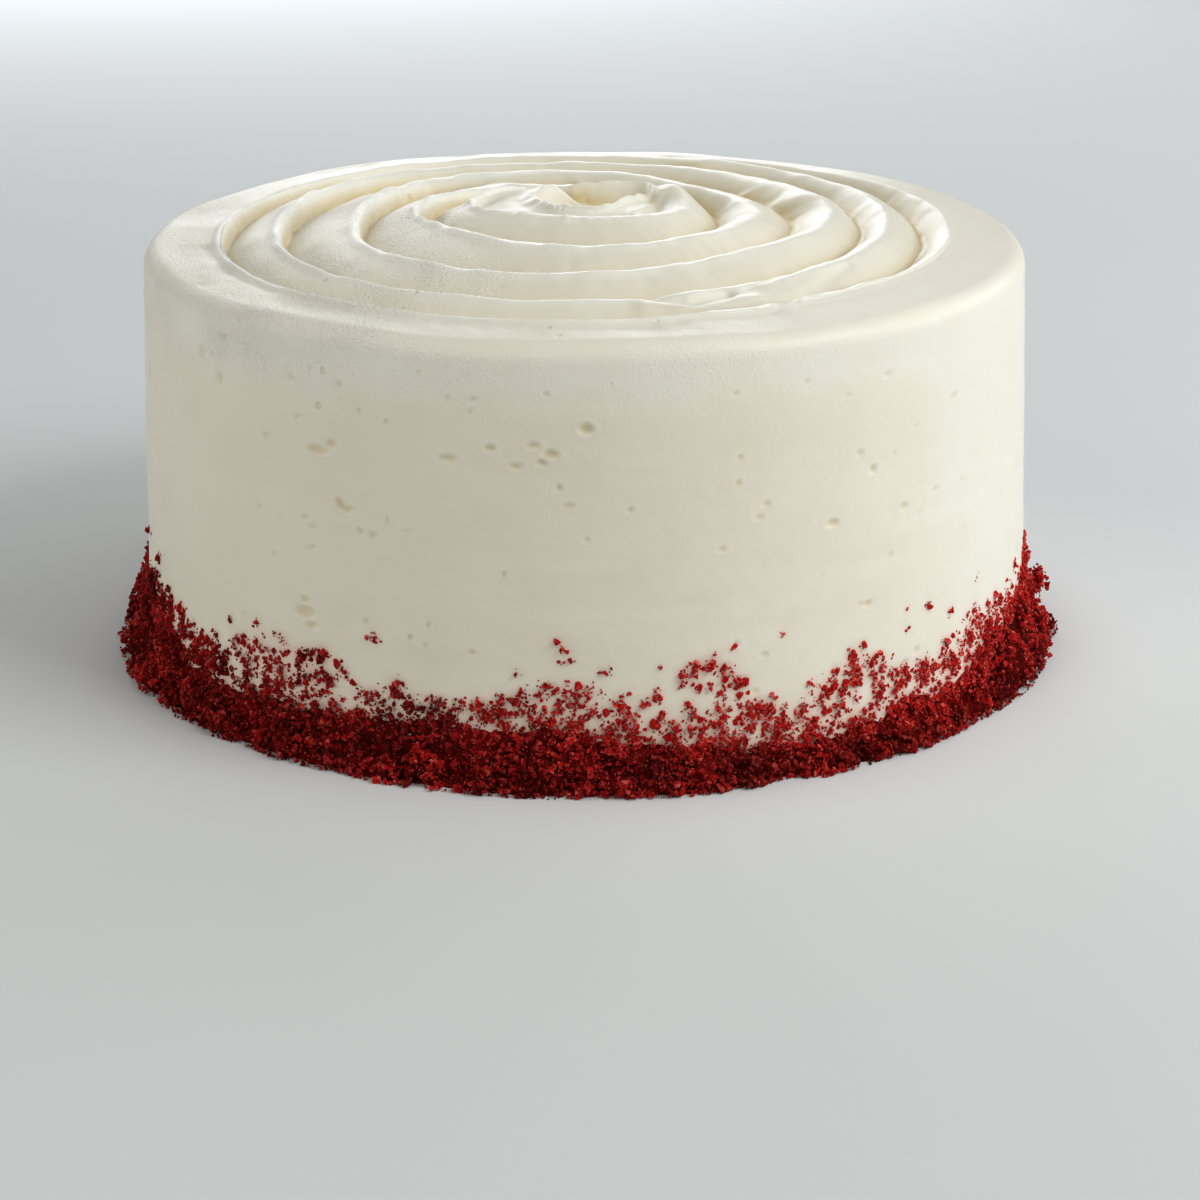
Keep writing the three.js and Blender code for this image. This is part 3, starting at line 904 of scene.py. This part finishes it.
def frosting_material(colours):
    """Whipped frosting: cream, with painted shade in its hollows and pits (a warmer cream) and a painted
    highlight along its crests (the hollow value is below 0 there), paler where its skin is coarse, pink near
    crumbs, satin, and wrinkled all over."""
    shader = Shader("frosting")
    hollow = shader.attribute("hollow")
    mottle = shader.noise(60.0, 3.0)
    pits = shader.between(0.17, 0.07, shader.cells(150.0)) * shader.between(0.48, 0.58, shader.noise(45.0))
    pits = pits * shader.between(0.05, 0.09, shader.attribute("rough"))
    # painted shade: the hollows and pits mix in the warmer hollow cream, which the mottle shifts at random
    warm_shade = (hollow * 0.9 + (mottle - 0.5) * 0.25 + pits * 0.35).clamped()
    base = shader.mix(warm_shade, tuple(colours.frosting), tuple(colours.hollow))
    # painted highlight: below 0 the hollow value marks the crests, which take the pale crest cream; coarse
    # skin is paler too
    pale = (hollow * -0.8).clamped() + shader.attribute("rough") * 0.3
    base = shader.mix(pale.clamped(), base, tuple(colours.crest))
    stained = (shader.attribute("stain") * (0.35 + 0.75 * shader.noise(420.0, 2.0))).clamped()
    base = shader.mix(stained, base, tuple(colours.stain))
    patches = shader.between(0.35, 0.65, shader.noise(40.0, 2.0))
    rough = (shader.attribute("rough") * (0.55 + 0.9 * patches)).clamped()
    wrinkle = shader.noise(850.0, 2.0, 0.6)
    wrinkle = shader.node("ShaderNodeMath", {"operation": "ABSOLUTE"}, {0: wrinkle - 0.5}) * 2.2
    pinholes = shader.between(0.0, 0.5, shader.cells(800.0))
    fine = shader.noise(1500.0, 2.0, 0.6) * 0.12 + shader.noise(330.0) * 0.16
    height = (wrinkle + pinholes * 0.3) * rough * 2.0 + fine - pits
    return shader.finish(
        Base_Color=base,
        Roughness=0.31 + 0.20 * mottle + 0.2 * rough,
        Normal=shader.bump(height, 0.34 * MM, 0.9),
        Specular_IOR_Level=0.45,
        IOR=1.45,
        Coat_Weight=0.05,
        Coat_Roughness=0.22,
    )


def crumb_material(colours):
    """Red sponge: each crumb has its own red, with painted shade where it is drawn in and a painted highlight
    at its thin tips.
    """
    shader = Shader("crumbs")
    tone_and_painted_light = shader.attribute("tone_and_painted_light")
    tip_highlight = shader.attribute("tip_highlight")
    pores = shader.noise(2100.0, 2.0, 0.7)
    # dark end: darkest crumbs and painted shade; plain red at the other end
    shade = shader.mix((tone_and_painted_light * 1.15 - 0.05).clamped(), tuple(colours.crumb_dark_and_shade), tuple(colours.crumb))
    # painted highlight: points that stick out, and specks where the pore noise is high, turn towards the
    # highlight colour
    bright = (shader.between(0.55, 1.0, tip_highlight) * (0.25 + 0.6 * tone_and_painted_light) + (pores - 0.55) * 0.6).clamped()
    return shader.finish(
        Base_Color=shader.mix(bright, shade, tuple(colours.crumb_highlight)),
        Roughness=0.7 + 0.3 * pores,
        Normal=shader.bump(pores, 0.25 * MM, 0.8),
        Specular_IOR_Level=0.06,
    )


def floor_material(colours):
    """A plain pale floor with the faintest mottle."""
    shader = Shader("floor")
    base = shader.mix(shader.noise(3.0) * 0.1, tuple(colours.floor), (0.9, 0.9, 0.9))
    return shader.finish(Base_Color=base, Roughness=0.9, Specular_IOR_Level=0.1)


# -------- stage


# The camera stands in front of the cake and looks down on it. Its angles are in degrees, its lens in
# millimetres.
CAMERA_PLACE = (0.0, -0.7575, 0.2745)
CAMERA_DOWN = 19.58
CAMERA_ASIDE = 0.284
CAMERA_LENS = 89.7

FLOOR_HALF = 4.0
LIGHT_DISTANCE = 1.6
LIGHT_AIM = 0.05  # height of the point that the lights face
# Soft lights, as (name, azimuth and elevation in degrees, width, height, power, colour).
LIGHTS = (
    ("key", 330, 40, 0.9, 0.7, 13.5, (1.0, 0.995, 0.97)),
    ("above_front", 330, 65, 0.9, 0.7, 2.0, (1.0, 1.0, 1.0)),
    ("front_left", 240, 35, 0.9, 0.7, 3.9, (1.0, 0.985, 0.90)),
    ("left", 185, 12, 0.6, 0.5, 5.2, (1.0, 0.99, 0.95)),
    ("back_left", 120, 14, 0.7, 0.5, 2.5, (0.95, 0.98, 1.0)),
    ("back", 96, 15, 0.8, 0.5, 6.3, (0.95, 0.98, 1.0)),
    ("right", 0, 14, 0.7, 0.5, 4.3, (0.96, 0.99, 1.0)),
    ("back_right", 30, 20, 0.7, 0.6, 3.6, (0.95, 0.98, 1.0)),
    ("back_high", 60, 38, 0.9, 0.7, 1.8, (0.95, 0.98, 1.0)),
)
WORLD_COLOUR = (1.0, 0.94, 0.86)
WORLD_STRENGTH = 0.1


def add_floor(scene):
    """The flat floor that the cake stands on."""
    corners = FLOOR_HALF * np.array([(-1.0, -1.0, 0.0), (1.0, -1.0, 0.0), (1.0, 1.0, 0.0), (-1.0, 1.0, 0.0)])
    floor = bpy.data.objects.new("floor", new_mesh("floor", corners, [np.array([[0, 1, 2, 3]])]))
    floor.data.materials.append(floor_material(scene.cake_colours))
    scene.collection.objects.link(floor)


def add_lights(scene):
    """Soft lights round the cake, and a dim even light from everywhere."""
    for name, azimuth, elevation, width, height, power, tone in LIGHTS:
        lamp = bpy.data.lights.new(name, "AREA")
        lamp.shape = "RECTANGLE"
        lamp.size, lamp.size_y = width, height
        lamp.energy = power
        lamp.color = tone
        light = bpy.data.objects.new(name, lamp)
        turn, tilt = math.radians(azimuth), math.radians(elevation)
        flat = LIGHT_DISTANCE * math.cos(tilt)
        up = LIGHT_DISTANCE * math.sin(tilt) + LIGHT_AIM
        light.location = (flat * math.cos(turn), flat * math.sin(turn), up)
        light.rotation_euler = (math.radians(90.0) - tilt, 0.0, turn + math.radians(90.0))
        light.visible_camera = False
        scene.collection.objects.link(light)
    world = bpy.data.worlds.new("soft_room")
    world.use_nodes = True
    background = world.node_tree.nodes["Background"]
    background.inputs["Color"].default_value = (*WORLD_COLOUR, 1.0)
    background.inputs["Strength"].default_value = WORLD_STRENGTH
    scene.world = world


def add_camera(scene):
    """The camera, and plain display of colours."""
    lens = bpy.data.cameras.new("camera")
    lens.lens = CAMERA_LENS
    lens.sensor_width = 36.0
    camera = bpy.data.objects.new("camera", lens)
    camera.location = CAMERA_PLACE
    camera.rotation_euler = (math.radians(90.0 - CAMERA_DOWN), 0.0, -math.radians(CAMERA_ASIDE))
    scene.collection.objects.link(camera)
    scene.camera = camera
    scene.view_settings.view_transform = "Standard"


# -------- operators


class CAKE_OT_frosting(bpy.types.Operator):
    """Build the frosting: its top with the swirl and its wall"""

    bl_idname = "cake.frosting"
    bl_label = "Frosting"

    def execute(self, context):
        material = frosting_material(context.scene.cake_colours)
        kinds = all_grains(context.scene.cake_sizes).values()
        grains = {key: np.concatenate([kind[key] for kind in kinds]) for key in ("place", "size")}
        add_piece(context, "frosting_top", build_top(context), material)
        add_piece(context, "frosting_wall", build_wall(context, grains), material)
        return {"FINISHED"}


class CAKE_OT_crumbs(bpy.types.Operator):
    """Build the bank of crumbs and the crumbs that lie on it and cling to the wall"""

    bl_idname = "cake.crumbs"
    bl_label = "Crumbs"

    def execute(self, context):
        material = crumb_material(context.scene.cake_colours)
        grains = all_grains(context.scene.cake_sizes)
        add_piece(context, "crumb_bank", build_bank(context), material)
        for name, *_, rings, spokes, seed in GRAINS:
            mesh = build_grains(name, grains[name], rings, spokes, seed)
            add_piece(context, name, mesh, material)
        return {"FINISHED"}


class CAKE_OT_stage(bpy.types.Operator):
    """Set up the floor, the soft lights and the camera"""

    bl_idname = "cake.stage"
    bl_label = "Stage"

    def execute(self, context):
        add_floor(context.scene)
        add_lights(context.scene)
        add_camera(context.scene)
        return {"FINISHED"}


class CAKE_PT_panel(bpy.types.Panel):
    """Lists the pieces of the cake and their settings"""

    bl_label = "Red Velvet Cake"
    bl_idname = "CAKE_PT_panel"
    bl_space_type = "VIEW_3D"
    bl_region_type = "UI"
    bl_category = "Cake"

    def draw(self, context):
        layout = self.layout
        for group in (context.scene.cake_sizes, context.scene.cake_colours):
            box = layout.box()
            for key in group.bl_rna.properties.keys():
                if key not in {"rna_type", "name"}:
                    box.prop(group, key)
        for operator in OPERATORS:
            layout.operator(operator.bl_idname)


OPERATORS = (CAKE_OT_frosting, CAKE_OT_crumbs, CAKE_OT_stage)
CLASSES = (CakeSizes, CakeColours, *OPERATORS, CAKE_PT_panel)


def register():
    """Registers the classes and the settings."""
    for cls in CLASSES:
        bpy.utils.register_class(cls)
    bpy.types.Scene.cake_sizes = PointerProperty(type=CakeSizes)
    bpy.types.Scene.cake_colours = PointerProperty(type=CakeColours)


def unregister():
    """Takes the classes and the settings away again."""
    del bpy.types.Scene.cake_colours
    del bpy.types.Scene.cake_sizes
    for cls in reversed(CLASSES):
        bpy.utils.unregister_class(cls)


def main():
    """Builds everything in order."""
    register()
    bpy.ops.cake.stage()
    bpy.ops.cake.frosting()
    bpy.ops.cake.crumbs()


if __name__ == "__main__":
    main()
